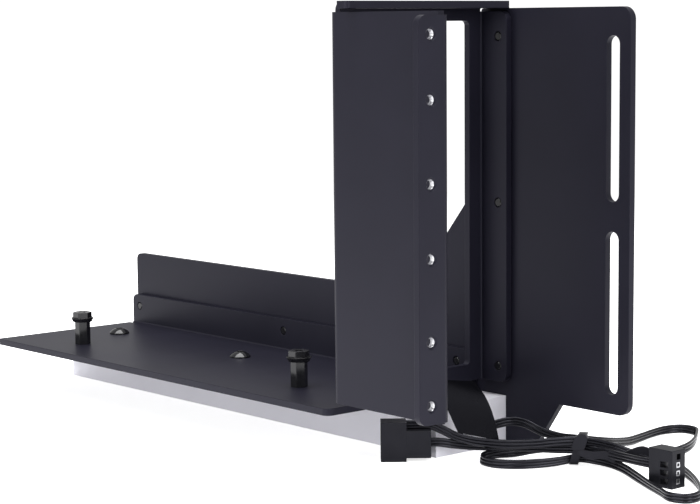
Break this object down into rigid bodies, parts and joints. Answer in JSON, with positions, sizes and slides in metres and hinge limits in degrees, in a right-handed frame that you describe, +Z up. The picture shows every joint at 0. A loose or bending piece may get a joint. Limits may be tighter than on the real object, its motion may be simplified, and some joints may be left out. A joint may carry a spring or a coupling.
{
  "type": "vertical graphics card mount",
  "caption": "Black folded-steel vertical graphics card mount on a frosted acrylic light bar, with riser standoffs, threaded case flange, slotted side plate and tied 3-wire light cable.",
  "frame": {"origin": "middle of the light bar's underside, at floor level", "axes": "+X along the base to the case's rear, +Y from the near edge to the side plate, +Z up"},
  "size_m": [0.3051, 0.1333, 0.1457],
  "materials": {
    "black_steel": "satin",
    "frosted_acrylic": "satin",
    "black_screw": "gloss",
    "bright_steel": "satin",
    "black_plastic": "matte",
    "cable_skin": "satin",
    "strip_white": "matte",
    "gold_plate": "gloss",
    "label_film": "gloss"
  },
  "bodies": {
    "root": {"base_plate": "black_steel", "side_plate": "black_steel", "card_frame": "black_steel", "light_bar": "frosted_acrylic", "led_strip": "strip_white", "led_chips": "strip_white", "cable_grommet": "black_plastic", "bar_screws": "black_screw", "flange_screws": "black_screw", "frame_screws": "black_screw", "riser_standoffs": "black_screw", "riser_screws": "black_screw", "led_cable": "cable_skin", "socket_housing": "black_plastic", "socket_contacts": "gold_plate", "plug_housing": "black_plastic", "plug_pins": "gold_plate", "adapter_cable": "cable_skin", "header_housing": "black_plastic", "header_contacts": "bright_steel", "cable_tie": "black_plastic", "cable_label": "label_film"}
  },
  "joints": []
}
